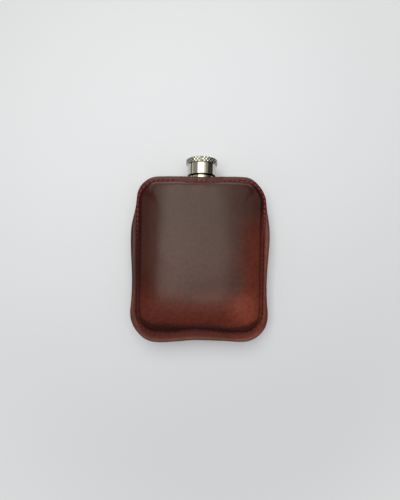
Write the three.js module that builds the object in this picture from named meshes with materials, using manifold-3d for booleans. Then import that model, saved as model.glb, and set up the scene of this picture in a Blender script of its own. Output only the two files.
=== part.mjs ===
// A stainless steel hip flask, sewn into a moulded leather cover, with a knurled screw cap.
// It lies on its back: +Z points out of its front and +Y along its neck. The origin is the
// middle of the flat back, on the table.
import * as THREE from "three";
import { mergeVertices } from "three/addons/utils/BufferGeometryUtils.js";
import Module from "manifold-3d";

const wasm = await Module();
wasm.setup();

// Driving dimensions in millimetres: the steel vessel
const FLASK_WIDTH = 88;
const FLASK_HEIGHT = 103.5;
const SIDE_RADIUS = 10.5; // half-round sides of the kidney section
const FRONT_CROWN = 3.5; // how far the front swells between the sides
const BACK_HOLLOW = 1; // how far the back dips between the sides
const CORNER_RADIUS = 11; // the four corners, seen from the front
const EDGE_RADIUS = 6; // the rim of the drawn ends, seen from the side
const STEEL = 0.7;
const WELD_GAP = 0.1;

// The neck and its collar
const NECK_RADIUS = 7.5;
const NECK_WALL = 1.2;
const NECK_DEPTH = 3; // reach below the top of the shoulder
const NECK_REACH = 8.7; // how far the neck stands up inside the closed cap
const COLLAR_STEP = 0.65; // how far the collar stands in from the cap's skirt
const COLLAR_TAPER = 0.4;
const COLLAR_ROUND = 0.8;
const COLLAR_SKIRT = 6; // how far the collar reaches down over the shoulder's edges
const FIT_GAP = 0.3; // clearance between pieces that are brazed, pressed or laid together

// The screw cap
const CAP_WALL = 0.9;
const CAP_TOP = 1.2;
const CAP_DOME = 0.4;
const CAP_CHAMFER = 0.3;
const CAP_STANDOFF = 0.5; // dark gap between the collar and the skirt
const KNURL_STAND = 1.1; // how far the knurled head stands out from the skirt
const KNURL_HEIGHT = 3.95;
const KNURL_DEPTH = 0.45;
const KNURL_BEVEL = 0.4;
const KNURL_TEETH = 48;
const THREAD_ROOM = 0.7; // between neck and insert, for the screw threads of both
const INSERT_WALL = 1.25;
const INSERT_TOP = 0.9;
const INSERT_RECESS = 0.6; // how far the insert stands back from the skirt's end
const SEAL_THICKNESS = 0.8;
const SEAL_GAP = 0.1; // play above and below the loose seal

// The leather cover
const LEATHER = 2;
const GLUE_LINE = 0.1;
const EDGE_BEVEL = 0.4;
const OPENING_GAP = 0.4; // between the collar and the leather around it
const THROAT_STAND = 5.5; // height of the leather round the collar, above the shoulder
const BUMP_HEIGHT = 18.5; // where the flange is widest, above the middle
const WAIST_HEIGHT = -19; // where the sides of the flange are drawn in

// Flange widths and stitch distances from the wall, round one half from the top
const FLANGE = {
  top: 6,
  topEnd: 5.9,
  upperCorner: 3.4,
  upperSide: 2.6,
  bump: 5.9,
  waist: 4.4,
  hip: 5.6,
  lowerCorner: 7.9,
  lobe: 10.9,
  heel: 9,
};
const STITCH_AT_TOP = 2.7;
const STITCH_AT_SIDES = 1.3;
const STITCH_AT_FOOT = 1.9;
const THREAD_RADIUS = 0.4;
const THREAD_LIFT = 0.05; // keeps the thread off the grain surface
const THREAD_END_GAP = 1.2; // from the leather throat to the first stitch

// Facet counts
const FRONT_STEPS = 12;
const SIDE_STEPS = 8;
const BACK_STEPS = 4;
const END_STEPS = 6;
const EDGE_STEPS = 108;
const THREAD_STEPS = 72;
const THREAD_SIDES = 5;
const ROUND_STEPS = 40;

// Places that follow from the sizes
const INSERT_BORE = NECK_RADIUS + THREAD_ROOM;
const INSERT_RADIUS = INSERT_BORE + INSERT_WALL;
const CAP_RADIUS = INSERT_RADIUS + FIT_GAP + CAP_WALL;
const KNURL_RADIUS = CAP_RADIUS + KNURL_STAND;
const COLLAR_RADIUS = CAP_RADIUS - COLLAR_STEP;
const COVER_OFFSET = FIT_GAP + LEATHER;
const SIDE_PLANE = COVER_OFFSET + SIDE_RADIUS;
const SEAM_RISE = (FRONT_CROWN + BACK_HOLLOW) / 2; // mid thickness, above the side plane
const SHOULDER_Y = FLASK_HEIGHT / 2;
const WELD_Y = SHOULDER_Y - CORNER_RADIUS;
const COLLAR_STAND = COVER_OFFSET + FLANGE.top; // level with the leather's top edge
const CAP_BASE = COLLAR_STAND + CAP_STANDOFF; // above the shoulder
const NECK_STAND = CAP_BASE + NECK_REACH;
const SEAL_BASE = NECK_REACH + SEAL_GAP;
const INSERT_CEILING = SEAL_BASE + SEAL_THICKNESS + SEAL_GAP;
const CAP_CEILING = INSERT_CEILING + INSERT_TOP + SEAL_GAP;
const CAP_HEIGHT = CAP_CEILING + CAP_TOP;
const OPENING_RADIUS = COLLAR_RADIUS + OPENING_GAP;
const THROAT_RADIUS = OPENING_RADIUS + LEATHER;
const FAR = FLASK_WIDTH + FLASK_HEIGHT; // past everything, for cutting blocks

// Solids and cuts
function solidOf(geometry) {
  const bare = geometry.clone();
  bare.deleteAttribute("normal");
  bare.deleteAttribute("uv");
  const merged = mergeVertices(bare);
  return new wasm.Manifold(
    new wasm.Mesh({
      numProp: 3,
      vertProperties: merged.attributes.position.array,
      triVerts: new Uint32Array(merged.index.array),
    }),
  );
}

function geometryOf(solid) {
  const made = solid.getMesh();
  const geometry = new THREE.BufferGeometry();
  geometry.setAttribute("position", new THREE.BufferAttribute(made.vertProperties, 3));
  geometry.setIndex(new THREE.BufferAttribute(made.triVerts, 1));
  geometry.computeVertexNormals();
  return geometry;
}

// A block from one corner to the other, used to keep one side of a cut.
function block(low, high) {
  const size = high.map((value, i) => value - low[i]);
  const middle = high.map((value, i) => (value + low[i]) / 2);
  return solidOf(new THREE.BoxGeometry(...size).translate(...middle));
}

// A profile of [radius, height] points turned about the neck's axis.
function turned(profile) {
  const points = profile.map(([radius, height]) => new THREE.Vector2(radius, height));
  return new THREE.LatheGeometry(points, ROUND_STEPS);
}

// A plug along the neck's axis, from inside the shoulder up to a height above it.
function neckPlug(radius, height) {
  const length = height + CORNER_RADIUS;
  const plug = new THREE.CylinderGeometry(radius, radius, length, ROUND_STEPS);
  return solidOf(plug.translate(0, SHOULDER_Y + height - length / 2, SEAM_RISE));
}

// A quarter-round edge from the side of a profile to its top, as [radius, height] points.
function roundedEdge(radius, height, round, steps = 4) {
  return Array.from({ length: steps + 1 }, (_, i) => {
    const angle = (i / steps) * (Math.PI / 2);
    return [radius - round + round * Math.cos(angle), height - round + round * Math.sin(angle)];
  });
}

// The flask's form

// The kidney section in X and Z, counter-clockwise: tangent arcs round two half-round sides.
function kidney(halfWidth, side, crown, hollow) {
  const reach = halfWidth - side;
  const frontDrop = (reach * reach - crown * crown) / (2 * crown);
  const frontRadius = frontDrop + side + crown;
  const frontAngle = Math.atan2(frontDrop, reach);
  const backDrop = hollow > 0 ? (reach * reach - hollow * hollow) / (2 * hollow) : 0;
  const backAngle = hollow > 0 ? Math.atan2(backDrop, reach) : Math.PI / 2;
  const back =
    hollow > 0
      ? new THREE.ArcCurve(0, -backDrop, backDrop - side + hollow, Math.PI - backAngle, backAngle, true)
      : new THREE.LineCurve(new THREE.Vector2(-reach, -side), new THREE.Vector2(reach, -side));
  const right = new THREE.ArcCurve(reach, 0, side, backAngle - Math.PI, frontAngle, false);
  const front = new THREE.ArcCurve(0, -frontDrop, frontRadius, frontAngle, Math.PI - frontAngle, false);
  const left = new THREE.ArcCurve(-reach, 0, side, Math.PI - frontAngle, 2 * Math.PI - backAngle, false);
  return [
    ...right.getPoints(SIDE_STEPS).slice(0, -1),
    ...front.getPoints(FRONT_STEPS).slice(0, -1),
    ...left.getPoints(SIDE_STEPS).slice(0, -1),
    ...back.getPoints(BACK_STEPS).slice(0, -1),
  ];
}

// Rings of one closed form, joined side to side and closed at both ends.
function loft(rings) {
  const count = rings[0].length;
  const middles = [rings[0], rings.at(-1)].map((ring) =>
    ring.reduce((sum, point) => sum.addScaledVector(point, 1 / count), new THREE.Vector3()),
  );
  const points = [...rings.flat(), ...middles];
  const foot = points.length - 2;
  const head = points.length - 1;
  const lastRing = (rings.length - 1) * count;
  const faces = [];
  for (let i = 0; i < count; i++) {
    const next = (i + 1) % count;
    faces.push(foot, i, next, head, lastRing + next, lastRing + i);
    for (let at = 0; at < lastRing; at += count) {
      const above = at + count;
      faces.push(at + i, above + i, at + next, at + next, above + i, above + next);
    }
  }
  return new THREE.BufferGeometry().setFromPoints(points).setIndex(faces);
}

// The flask's outer form, moved outwards by offset, with rounded corners and end rims.
function flaskForm(offset, hollow) {
  const halfWidth = FLASK_WIDTH / 2 + offset;
  const halfHeight = FLASK_HEIGHT / 2 + offset;
  const corner = CORNER_RADIUS + offset;
  const edge = EDGE_RADIUS + offset;
  const end = Array.from({ length: END_STEPS + 1 }, (_, i) => {
    const angle = (i / END_STEPS) * (Math.PI / 2);
    const y = halfHeight - corner + corner * Math.sin(angle);
    const intoRim = Math.max(0, y - (halfHeight - edge));
    const rimInset = edge - Math.sqrt(Math.max(0, edge * edge - intoRim * intoRim));
    const width = halfWidth - corner + corner * Math.cos(angle);
    return { y, outline: kidney(width, SIDE_RADIUS + offset - rimInset, FRONT_CROWN, hollow) };
  });
  const ring = ({ y, outline }, way) => outline.map((p) => new THREE.Vector3(p.x, way * y, p.y));
  return loft([...end.toReversed().map((e) => ring(e, -1)), ...end.map((e) => ring(e, 1))]);
}

// The leather cover's outlines

// Stations round the wall's foot: its place, the way out, the flange's width and the stitch line.
function stations() {
  const a = FLASK_WIDTH / 2 + COVER_OFFSET;
  const b = FLASK_HEIGHT / 2 + COVER_OFFSET;
  const r = CORNER_RADIUS + COVER_OFFSET;
  const slant = Math.SQRT1_2;
  const inset = r * (1 - slant);
  return [
    { at: [a - r, b], out: [0, 1], flange: FLANGE.topEnd, stitch: STITCH_AT_TOP },
    { at: [a - inset, b - inset], out: [slant, slant], flange: FLANGE.upperCorner, stitch: STITCH_AT_SIDES },
    { at: [a, b - r], out: [1, 0], flange: FLANGE.upperSide, stitch: STITCH_AT_SIDES },
    { at: [a, BUMP_HEIGHT], out: [1, 0], flange: FLANGE.bump, stitch: STITCH_AT_SIDES },
    { at: [a, WAIST_HEIGHT], out: [1, 0], flange: FLANGE.waist, stitch: STITCH_AT_SIDES },
    { at: [a, r - b], out: [1, 0], flange: FLANGE.hip, stitch: STITCH_AT_SIDES },
    { at: [a - inset, inset - b], out: [slant, -slant], flange: FLANGE.lowerCorner, stitch: STITCH_AT_FOOT },
    { at: [a - r, -b], out: [0, -1], flange: FLANGE.lobe, stitch: STITCH_AT_FOOT },
  ];
}

// Points at one distance from the wall, from one start round the foot to its mirror image.
function roundTheWall(first, distance, last) {
  const half = stations().map((s) => [
    s.at[0] + s.out[0] * s[distance],
    s.at[1] + s.out[1] * s[distance],
  ]);
  const mirrored = half.toReversed().map(([x, y]) => [-x, y]);
  return [...first, ...half, ...last, ...mirrored].map(([x, y]) => new THREE.Vector3(x, y, 0));
}

function flangeOutline() {
  const b = FLASK_HEIGHT / 2 + COVER_OFFSET;
  const points = roundTheWall([[0, b + FLANGE.top]], "flange", [[0, -b - FLANGE.heel]]);
  return new THREE.CatmullRomCurve3(points, true, "centripetal");
}

function stitchLine() {
  const b = FLASK_HEIGHT / 2 + COVER_OFFSET;
  const start = [THROAT_RADIUS + THREAD_END_GAP, b + STITCH_AT_TOP];
  const points = roundTheWall([start], "stitch", [[0, -b - STITCH_AT_FOOT]]);
  points.push(new THREE.Vector3(-start[0], start[1], 0));
  return new THREE.CatmullRomCurve3(points, false, "centripetal");
}

// Vessel: a straight band with a drawn shoulder and base, welded to its ends

function vesselPieces() {
  const shell = solidOf(flaskForm(0, BACK_HOLLOW)).subtract(solidOf(flaskForm(-STEEL, BACK_HOLLOW)));
  const neckHole = neckPlug(NECK_RADIUS + FIT_GAP, FAR);
  const seam = WELD_Y + WELD_GAP;
  return {
    body_band: shell.intersect(block([-FAR, -WELD_Y, -FAR], [FAR, WELD_Y, FAR])),
    shoulder: shell.intersect(block([-FAR, seam, -FAR], [FAR, FAR, FAR])).subtract(neckHole),
    base: shell.intersect(block([-FAR, -FAR, -FAR], [FAR, -seam, FAR])),
  };
}

// Neck: a threaded tube through the shoulder, drawn here at the root of its thread
function neckTube() {
  const bore = NECK_RADIUS - NECK_WALL;
  return turned([
    [bore, -NECK_DEPTH],
    [NECK_RADIUS, -NECK_DEPTH],
    ...roundedEdge(NECK_RADIUS, NECK_STAND, NECK_WALL / 4, 2),
    [bore, NECK_STAND],
    [bore, -NECK_DEPTH],
  ]);
}

// Collar: a ring round the neck whose foot is shaped to the shoulder it stands on
function collarRing() {
  const bore = NECK_RADIUS + FIT_GAP;
  const ring = turned([
    [bore, -COLLAR_SKIRT],
    [COLLAR_RADIUS, -COLLAR_SKIRT],
    [COLLAR_RADIUS, COLLAR_STAND / 2],
    ...roundedEdge(COLLAR_RADIUS - COLLAR_TAPER, COLLAR_STAND, COLLAR_ROUND),
    [bore, COLLAR_STAND],
    [bore, -COLLAR_SKIRT],
  ]);
  const shoulder = flaskForm(FIT_GAP, BACK_HOLLOW).translate(0, -SHOULDER_Y, -SEAM_RISE);
  return geometryOf(solidOf(ring).subtract(solidOf(shoulder)));
}

// Cover: two moulded panels with a flange all round and a throat that hugs the collar

function coverPanels() {
  const outline = flangeOutline().getSpacedPoints(EDGE_STEPS).slice(0, -1);
  const flange = new THREE.ExtrudeGeometry(new THREE.Shape(outline.map((p) => new THREE.Vector2(p.x, p.y))), {
    depth: 2 * (LEATHER - EDGE_BEVEL),
    bevelThickness: EDGE_BEVEL,
    bevelSize: EDGE_BEVEL,
    bevelOffset: -EDGE_BEVEL,
    bevelSegments: 1,
  }).translate(0, 0, SEAM_RISE + EDGE_BEVEL - LEATHER);
  const cover = solidOf(flaskForm(COVER_OFFSET, 0))
    .add(solidOf(flange))
    .add(neckPlug(THROAT_RADIUS, THROAT_STAND))
    .subtract(solidOf(flaskForm(FIT_GAP, 0)))
    .subtract(neckPlug(OPENING_RADIUS, FAR));
  const half = GLUE_LINE / 2;
  return {
    leather_front: cover.intersect(block([-FAR, -FAR, SEAM_RISE + half], [FAR, FAR, FAR])),
    leather_back: cover.intersect(block([-FAR, -FAR, -FAR], [FAR, FAR, SEAM_RISE - half])),
  };
}

// Seam thread: one cord laid along the stitch line, on one face of the flange
function seamThread(way) {
  const section = new THREE.Shape(
    Array.from({ length: THREAD_SIDES }, (_, i) => {
      const angle = ((i + 0.5) / THREAD_SIDES) * 2 * Math.PI;
      return new THREE.Vector2(THREAD_RADIUS * Math.cos(angle), THREAD_RADIUS * Math.sin(angle));
    }),
  );
  const cord = new THREE.ExtrudeGeometry(section, { steps: THREAD_STEPS, extrudePath: stitchLine() });
  return cord.translate(0, 0, SEAM_RISE + way * (LEATHER + THREAD_LIFT + THREAD_RADIUS));
}

// Cap: a turned shell with a knurled head, a threaded insert and a loose seal

function capShell() {
  const cavity = CAP_RADIUS - CAP_WALL;
  const body = turned([
    [0, CAP_CEILING],
    [cavity, CAP_CEILING],
    [cavity, 0],
    [CAP_RADIUS - CAP_CHAMFER, 0],
    [CAP_RADIUS, CAP_CHAMFER],
    [CAP_RADIUS, CAP_HEIGHT],
    [CAP_RADIUS - CAP_WALL, CAP_HEIGHT],
    [CAP_RADIUS / 2, CAP_HEIGHT + CAP_DOME * 0.75],
    [0, CAP_HEIGHT + CAP_DOME],
  ]);
  const teeth = Array.from({ length: 2 * KNURL_TEETH }, (_, i) => {
    const radius = KNURL_RADIUS - KNURL_BEVEL - (i % 2) * KNURL_DEPTH;
    const angle = (i / (2 * KNURL_TEETH)) * 2 * Math.PI;
    return new THREE.Vector2(radius * Math.cos(angle), radius * Math.sin(angle));
  });
  const knurl = new THREE.ExtrudeGeometry(new THREE.Shape(teeth), {
    depth: KNURL_HEIGHT - 2 * KNURL_BEVEL,
    bevelThickness: KNURL_BEVEL,
    bevelSize: KNURL_BEVEL,
    bevelSegments: 1,
  })
    .rotateX(-Math.PI / 2)
    .translate(0, CAP_HEIGHT - KNURL_HEIGHT + KNURL_BEVEL, 0);
  const hollow = turned([
    [0, -CAP_CHAMFER],
    [cavity, -CAP_CHAMFER],
    [cavity, CAP_CEILING],
    [0, CAP_CEILING],
  ]);
  return geometryOf(solidOf(body).add(solidOf(knurl)).subtract(solidOf(hollow)));
}

function capInsert() {
  return turned([
    [0, INSERT_CEILING],
    [INSERT_BORE, INSERT_CEILING],
    [INSERT_BORE, INSERT_RECESS],
    [INSERT_RADIUS, INSERT_RECESS],
    [INSERT_RADIUS, INSERT_CEILING + INSERT_TOP],
    [0, INSERT_CEILING + INSERT_TOP],
  ]);
}

function capSeal() {
  const radius = INSERT_BORE - FIT_GAP;
  return turned([
    [0, SEAL_BASE],
    [radius, SEAL_BASE],
    [radius, SEAL_BASE + SEAL_THICKNESS],
    [0, SEAL_BASE + SEAL_THICKNESS],
  ]);
}

// Finishes
const STEEL_FINISH = { color: 0xb9b8b0, roughness: 0.22, metalness: 1 };
const KNURL_FINISH = { color: 0xc4c4be, roughness: 0.18, metalness: 1 };
const LEATHER_FINISH = { color: 0x4a2320, roughness: 0.5, metalness: 0 };
const THREAD_FINISH = { color: 0x7a2430, roughness: 0.7, metalness: 0 };
const INSERT_FINISH = { color: 0x2a2a2a, roughness: 0.6, metalness: 0 };
const SEAL_FINISH = { color: 0xd8d6cc, roughness: 0.7, metalness: 0 };

function piece(name, geometry, finish) {
  const mesh = new THREE.Mesh(geometry, new THREE.MeshStandardMaterial(finish));
  mesh.name = name;
  return mesh;
}

// Assembly: the covered vessel about its side plane, and the neck's pieces about the neck's axis
const flask = new THREE.Group();

const vessel = new THREE.Group();
vessel.position.z = SIDE_PLANE;
for (const [name, solid] of Object.entries(vesselPieces())) {
  vessel.add(piece(name, geometryOf(solid), STEEL_FINISH));
}
for (const [name, solid] of Object.entries(coverPanels())) {
  vessel.add(piece(name, geometryOf(solid), LEATHER_FINISH));
}
vessel.add(piece("seam_thread_front", seamThread(1), THREAD_FINISH));
vessel.add(piece("seam_thread_back", seamThread(-1), THREAD_FINISH));
flask.add(vessel);

const neck = new THREE.Group();
neck.position.set(0, SHOULDER_Y, SIDE_PLANE + SEAM_RISE);
neck.add(piece("neck", neckTube(), STEEL_FINISH));
neck.add(piece("neck_collar", collarRing(), STEEL_FINISH));
flask.add(neck);

const cap = new THREE.Group();
cap.position.y = CAP_BASE;
cap.add(piece("cap_shell", capShell(), KNURL_FINISH));
cap.add(piece("cap_insert", capInsert(), INSERT_FINISH));
cap.add(piece("cap_seal", capSeal(), SEAL_FINISH));
neck.add(cap);

export default flask;
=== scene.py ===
# A leather-wrapped hip flask that lies on its back: +Z points out of its front and +Y along its neck.
import math
import bmesh
import bpy
from mathutils import Matrix, Vector, noise


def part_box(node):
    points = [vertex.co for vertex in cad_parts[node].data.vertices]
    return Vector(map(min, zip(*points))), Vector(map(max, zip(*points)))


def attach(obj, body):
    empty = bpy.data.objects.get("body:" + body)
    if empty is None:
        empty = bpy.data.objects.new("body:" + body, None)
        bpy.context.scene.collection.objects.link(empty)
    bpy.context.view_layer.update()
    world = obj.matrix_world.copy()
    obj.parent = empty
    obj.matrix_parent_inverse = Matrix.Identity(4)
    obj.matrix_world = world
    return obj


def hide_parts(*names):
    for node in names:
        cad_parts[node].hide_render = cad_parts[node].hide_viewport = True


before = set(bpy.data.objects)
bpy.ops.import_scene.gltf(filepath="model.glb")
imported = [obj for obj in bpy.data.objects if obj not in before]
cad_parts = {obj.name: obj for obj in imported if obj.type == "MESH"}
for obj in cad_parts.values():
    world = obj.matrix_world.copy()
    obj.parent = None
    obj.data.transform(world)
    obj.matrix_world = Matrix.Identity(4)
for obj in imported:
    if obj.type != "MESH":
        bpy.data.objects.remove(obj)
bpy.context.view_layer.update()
bpy.context.scene.view_settings.view_transform = "Standard"


# Steel vessel: a straight band of kidney section with a drawn shoulder and base welded to its ends,
# pressed from 0.7 mm stainless sheet. The cover hides it, apart from what shows down the neck.
def linear(hex_colour):
    """An sRGB hex value as linear RGBA."""
    parts = [int(hex_colour[i:i + 2], 16) / 255 for i in (1, 3, 5)]
    return [p / 12.92 if p <= 0.04045 else ((p + 0.055) / 1.055) ** 2.4 for p in parts] + [1.0]


def start_material(name, settings=None):
    """A new material with its node tree and its surface shader, some of whose sockets get a value."""
    material = bpy.data.materials.new(name)
    material.use_nodes = True
    surface = material.node_tree.nodes["Principled BSDF"]
    for socket, value in (settings or {}).items():
        surface.inputs[socket].default_value = value
    return material, material.node_tree, surface


def add_node(tree, kind, settings=None, links=None):
    """A shader node with its options and socket values set, and its inputs linked."""
    node = tree.nodes.new("ShaderNode" + kind)
    for name, value in (settings or {}).items():
        if isinstance(name, str) and hasattr(node, name):
            setattr(node, name, value)
        else:
            node.inputs[name].default_value = value
    for name, source in (links or {}).items():
        tree.links.new(source, node.inputs[name])
    return node


# Drawn stainless steel: satin grey, with faint lines 0.4 mm apart along the pull of the press.
drawn_steel, tree, surface = start_material(
    "drawn_stainless_steel",
    {"Base Color": linear("#b4b1aa"), "Metallic": 1.0},
)
place = add_node(tree, "TexCoord").outputs["Object"]
pull = add_node(tree, "Mapping", {"Scale": (1 / 0.0004, 60, 1 / 0.0004)}, {"Vector": place})
lines = add_node(tree, "TexNoise", {"Scale": 1.0, "Detail": 3.0}, {"Vector": pull.outputs["Vector"]})
satin = add_node(tree, "MapRange", {"To Min": 0.22, "To Max": 0.42}, {"Value": lines.outputs["Fac"]})
tree.links.new(satin.outputs["Result"], surface.inputs["Roughness"])
relief = add_node(tree, "Bump", {"Strength": 0.2, "Distance": 0.00003}, {"Height": lines.outputs["Fac"]})
tree.links.new(relief.outputs["Normal"], surface.inputs["Normal"])
for name in ("body_band", "shoulder", "base"):
    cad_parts[name].data.materials.clear()
    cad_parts[name].data.materials.append(drawn_steel)


# Neck: a stainless tube brazed through the shoulder, with a coarse screw thread of 3 mm pitch
# rolled on the end that stands up inside the cap.
neck_low, neck_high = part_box("neck")
neck_axis_z = (neck_low.z + neck_high.z) / 2
neck_radius = neck_high.x
neck_bore = 0.0063
neck_thread_ends = (neck_high.y - 0.0083, neck_high.y - 0.0009)
thread_pitch = 0.003
thread_steps = 56
round_sides = 96


def smooth_step(low, high, value):
    """0 up to low and 1 from high, with an even bend between."""
    part = min(max((value - low) / (high - low), 0.0), 1.0)
    return part * part * (3.0 - 2.0 * part)


def stack_rings(name, rings, ends, marks=None):
    """A skin extruded ring by ring from a circle, its ends bridged to each other or drawn to points."""
    bpy.ops.object.select_all(action="DESELECT")
    bpy.ops.mesh.primitive_circle_add(vertices=len(rings[0]), radius=0.01, enter_editmode=True)
    piece = bpy.context.object
    piece.name = name
    piece.data.name = name
    skin = bmesh.from_edit_mesh(piece.data)
    skin.verts.layers.int.new("column")
    for mark in marks or {}:
        skin.verts.layers.float.new(mark)
    column = skin.verts.layers.int["column"]
    for i, vertex in enumerate(skin.verts):
        vertex[column] = i
    for step, ring in enumerate(rings):
        if step > 0:
            bpy.ops.mesh.extrude_region()
            skin = bmesh.from_edit_mesh(piece.data)
            column = skin.verts.layers.int["column"]
        layers = [(skin.verts.layers.float[mark], values[step]) for mark, values in (marks or {}).items()]
        for vertex in skin.verts:
            if vertex.select:
                vertex.co = ring[vertex[column]]
                for layer, values in layers:
                    vertex[layer] = values[vertex[column]]
        bmesh.update_edit_mesh(piece.data)
    if ends == "points":
        bpy.ops.mesh.merge(type="CENTER")
        bpy.ops.mesh.select_all(action="DESELECT")
        bpy.ops.mesh.select_non_manifold()
        bpy.ops.mesh.merge(type="CENTER")
    else:
        bpy.ops.mesh.select_all(action="DESELECT")
        bpy.ops.mesh.select_non_manifold()
        bpy.ops.mesh.bridge_edge_loops()
    bpy.ops.mesh.select_all(action="SELECT")
    bpy.ops.mesh.normals_make_consistent(inside=False)
    bpy.ops.object.mode_set(mode="OBJECT")
    piece.data.attributes.remove(piece.data.attributes["column"])
    return piece


def turned_ring(radius, height, count, relief=None):
    """A ring about the neck's axis. relief gives what is added to the radius at an angle and height."""
    points = []
    for i in range(count):
        angle = 2 * math.pi * i / count
        reach = radius + (relief(angle, height) if relief else 0.0)
        points.append(Vector((reach * math.sin(angle), height, neck_axis_z + reach * math.cos(angle))))
    return points


def shade_smooth(piece, angle):
    """Shades a piece smooth, apart from its edges that are sharper than an angle in degrees."""
    bpy.ops.object.select_all(action="DESELECT")
    piece.select_set(True)
    bpy.context.view_layer.objects.active = piece
    bpy.ops.object.shade_smooth_by_angle(angle=math.radians(angle))


def screw_thread(ends, ridge, run_in, crest, foot, shift=0.0):
    """A relief for turned_ring: a screw's ridge between two heights, which runs in at both ends."""

    def relief(angle, height):
        turn = height / thread_pitch - angle / (2 * math.pi) + shift
        across = abs(turn - round(turn)) * thread_pitch
        starts = smooth_step(ends[0], ends[0] + run_in, height)
        stops = 1.0 - smooth_step(ends[1] - run_in, ends[1], height)
        return ridge * starts * stops * (1.0 - smooth_step(crest, foot, across))

    return relief


neck_screw = screw_thread(neck_thread_ends, 0.0005, run_in=0.0007, crest=0.0004, foot=0.0009)
neck_profile = [
    (neck_bore, neck_low.y),
    (neck_radius, neck_low.y),
    (neck_radius, neck_thread_ends[0] - 0.0002),
]
for step in range(thread_steps + 1):
    part = step * (neck_thread_ends[1] - neck_thread_ends[0]) / thread_steps
    neck_profile.append((neck_radius, neck_thread_ends[0] + part))
neck_profile += [
    (neck_radius, neck_high.y - 0.0004),
    (neck_radius - 0.0001, neck_high.y - 0.00012),
    (neck_radius - 0.0003, neck_high.y),
    (neck_bore + 0.0003, neck_high.y),
    (neck_bore + 0.0001, neck_high.y - 0.0001),
    (neck_bore, neck_high.y - 0.0003),
]
neck_rings = []
for radius, height in neck_profile:
    relief = neck_screw if radius == neck_radius else None
    neck_rings.append(turned_ring(radius, height, round_sides, relief))
neck = stack_rings("screw_neck", neck_rings, "bridge")
shade_smooth(neck, 40)

# Polished stainless steel: nearly a mirror, with smears from handling and fine rings left by the
# polishing wheel 0.1 mm apart. The wheel misses the valleys of a knurl: they are rougher and grey.
polished_steel, tree, surface = start_material("polished_stainless_steel", {"Metallic": 1.0})
valley = add_node(tree, "Attribute", {"attribute_name": "valley"})
in_valley = add_node(tree, "MapRange", {"From Min": 0.3, "To Max": 0.8}, {"Value": valley.outputs["Fac"]})
tarnish = add_node(
    tree,
    "Mix",
    {"data_type": "RGBA", 6: linear("#c9c5bb"), 7: linear("#4d5354")},
    {0: in_valley.outputs["Result"]},
)
tree.links.new(tarnish.outputs[2], surface.inputs["Base Color"])
place = add_node(tree, "TexCoord").outputs["Object"]
axis = add_node(tree, "SeparateXYZ", None, {"Vector": place})
from_axis = add_node(
    tree,
    "VectorMath",
    {"operation": "MULTIPLY_ADD", 1: (1.0, 0.0, 1.0), 2: (0.0, 0.0, -neck_axis_z)},
    {0: place},
)
reach = add_node(tree, "VectorMath", {"operation": "LENGTH"}, {0: from_axis.outputs["Vector"]})
along_profile = add_node(
    tree,
    "Math",
    {"operation": "ADD"},
    {0: axis.outputs["Y"], 1: reach.outputs["Value"]},
)
wheel = add_node(
    tree,
    "TexNoise",
    {"noise_dimensions": "1D", "Scale": 1 / 0.0001, "Detail": 2.0},
    {"W": along_profile.outputs["Value"]},
)
smears = add_node(
    tree,
    "TexNoise",
    {"Scale": 1 / 0.004, "Detail": 4.0, "Roughness": 0.6},
    {"Vector": place},
)
handling = add_node(tree, "MapRange", {"To Min": 0.05, "To Max": 0.17}, {"Value": smears.outputs["Fac"]})
as_cut = add_node(
    tree,
    "Math",
    {"operation": "MULTIPLY_ADD", 1: 0.08},
    {0: valley.outputs["Fac"], 2: handling.outputs["Result"]},
)
tree.links.new(as_cut.outputs["Value"], surface.inputs["Roughness"])
relief = add_node(tree, "Bump", {"Strength": 0.12, "Distance": 0.00001}, {"Height": wheel.outputs["Fac"]})
tree.links.new(relief.outputs["Normal"], surface.inputs["Normal"])
neck.data.materials.append(polished_steel)
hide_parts("neck")
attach(neck, "flask")


# Collar: a turned stainless ring pushed over the neck and soldered to the shoulder, whose foot is
# shaped to the shoulder's rounded rim. The cap closes on it.
collar_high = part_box("neck_collar")[1]
collar_radius = collar_high.x
solder_gap = 0.0003
collar_bore = neck_radius + solder_gap
shoulder_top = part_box("shoulder")[1].y
shoulder_flat = 0.00575
shoulder_rim = 0.0063


def collar_foot(radius):
    """The ring where the collar stands on the shoulder: it drops where the rim rounds away."""
    points = turned_ring(radius, shoulder_top + solder_gap, round_sides)
    for point in points:
        over = min(max(abs(point.z - neck_axis_z) - shoulder_flat, 0.0), shoulder_rim)
        point.y -= shoulder_rim - math.sqrt(shoulder_rim ** 2 - over ** 2)
    return points


# The collar's outside from its foot up: how far inside its radius and how far below its top.
collar_profile = [
    (0.0, 0.0042),
    (0.0002, 0.0022),
    (0.00022, 0.0019),
    (0.00045, 0.0018),
    (0.00045, 0.0016),
    (0.00025, 0.0015),
    (0.0003, 0.0009),
    (0.0004, 0.0005),
    (0.00062, 0.0002),
    (0.0009, 0.00005),
    (0.0012, 0.0),
]
collar_rings = [collar_foot(collar_bore), collar_foot(collar_radius)]
for inset, drop in collar_profile:
    collar_rings.append(turned_ring(collar_radius - inset, collar_high.y - drop, round_sides))
collar_rings.append(turned_ring(collar_bore + 0.0002, collar_high.y, round_sides))
collar_rings.append(turned_ring(collar_bore, collar_high.y - 0.0002, round_sides))
collar = stack_rings("neck_collar_ring", collar_rings, "bridge")
shade_smooth(collar, 40)
collar.data.materials.append(polished_steel)
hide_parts("neck_collar")
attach(collar, "flask")


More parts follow.
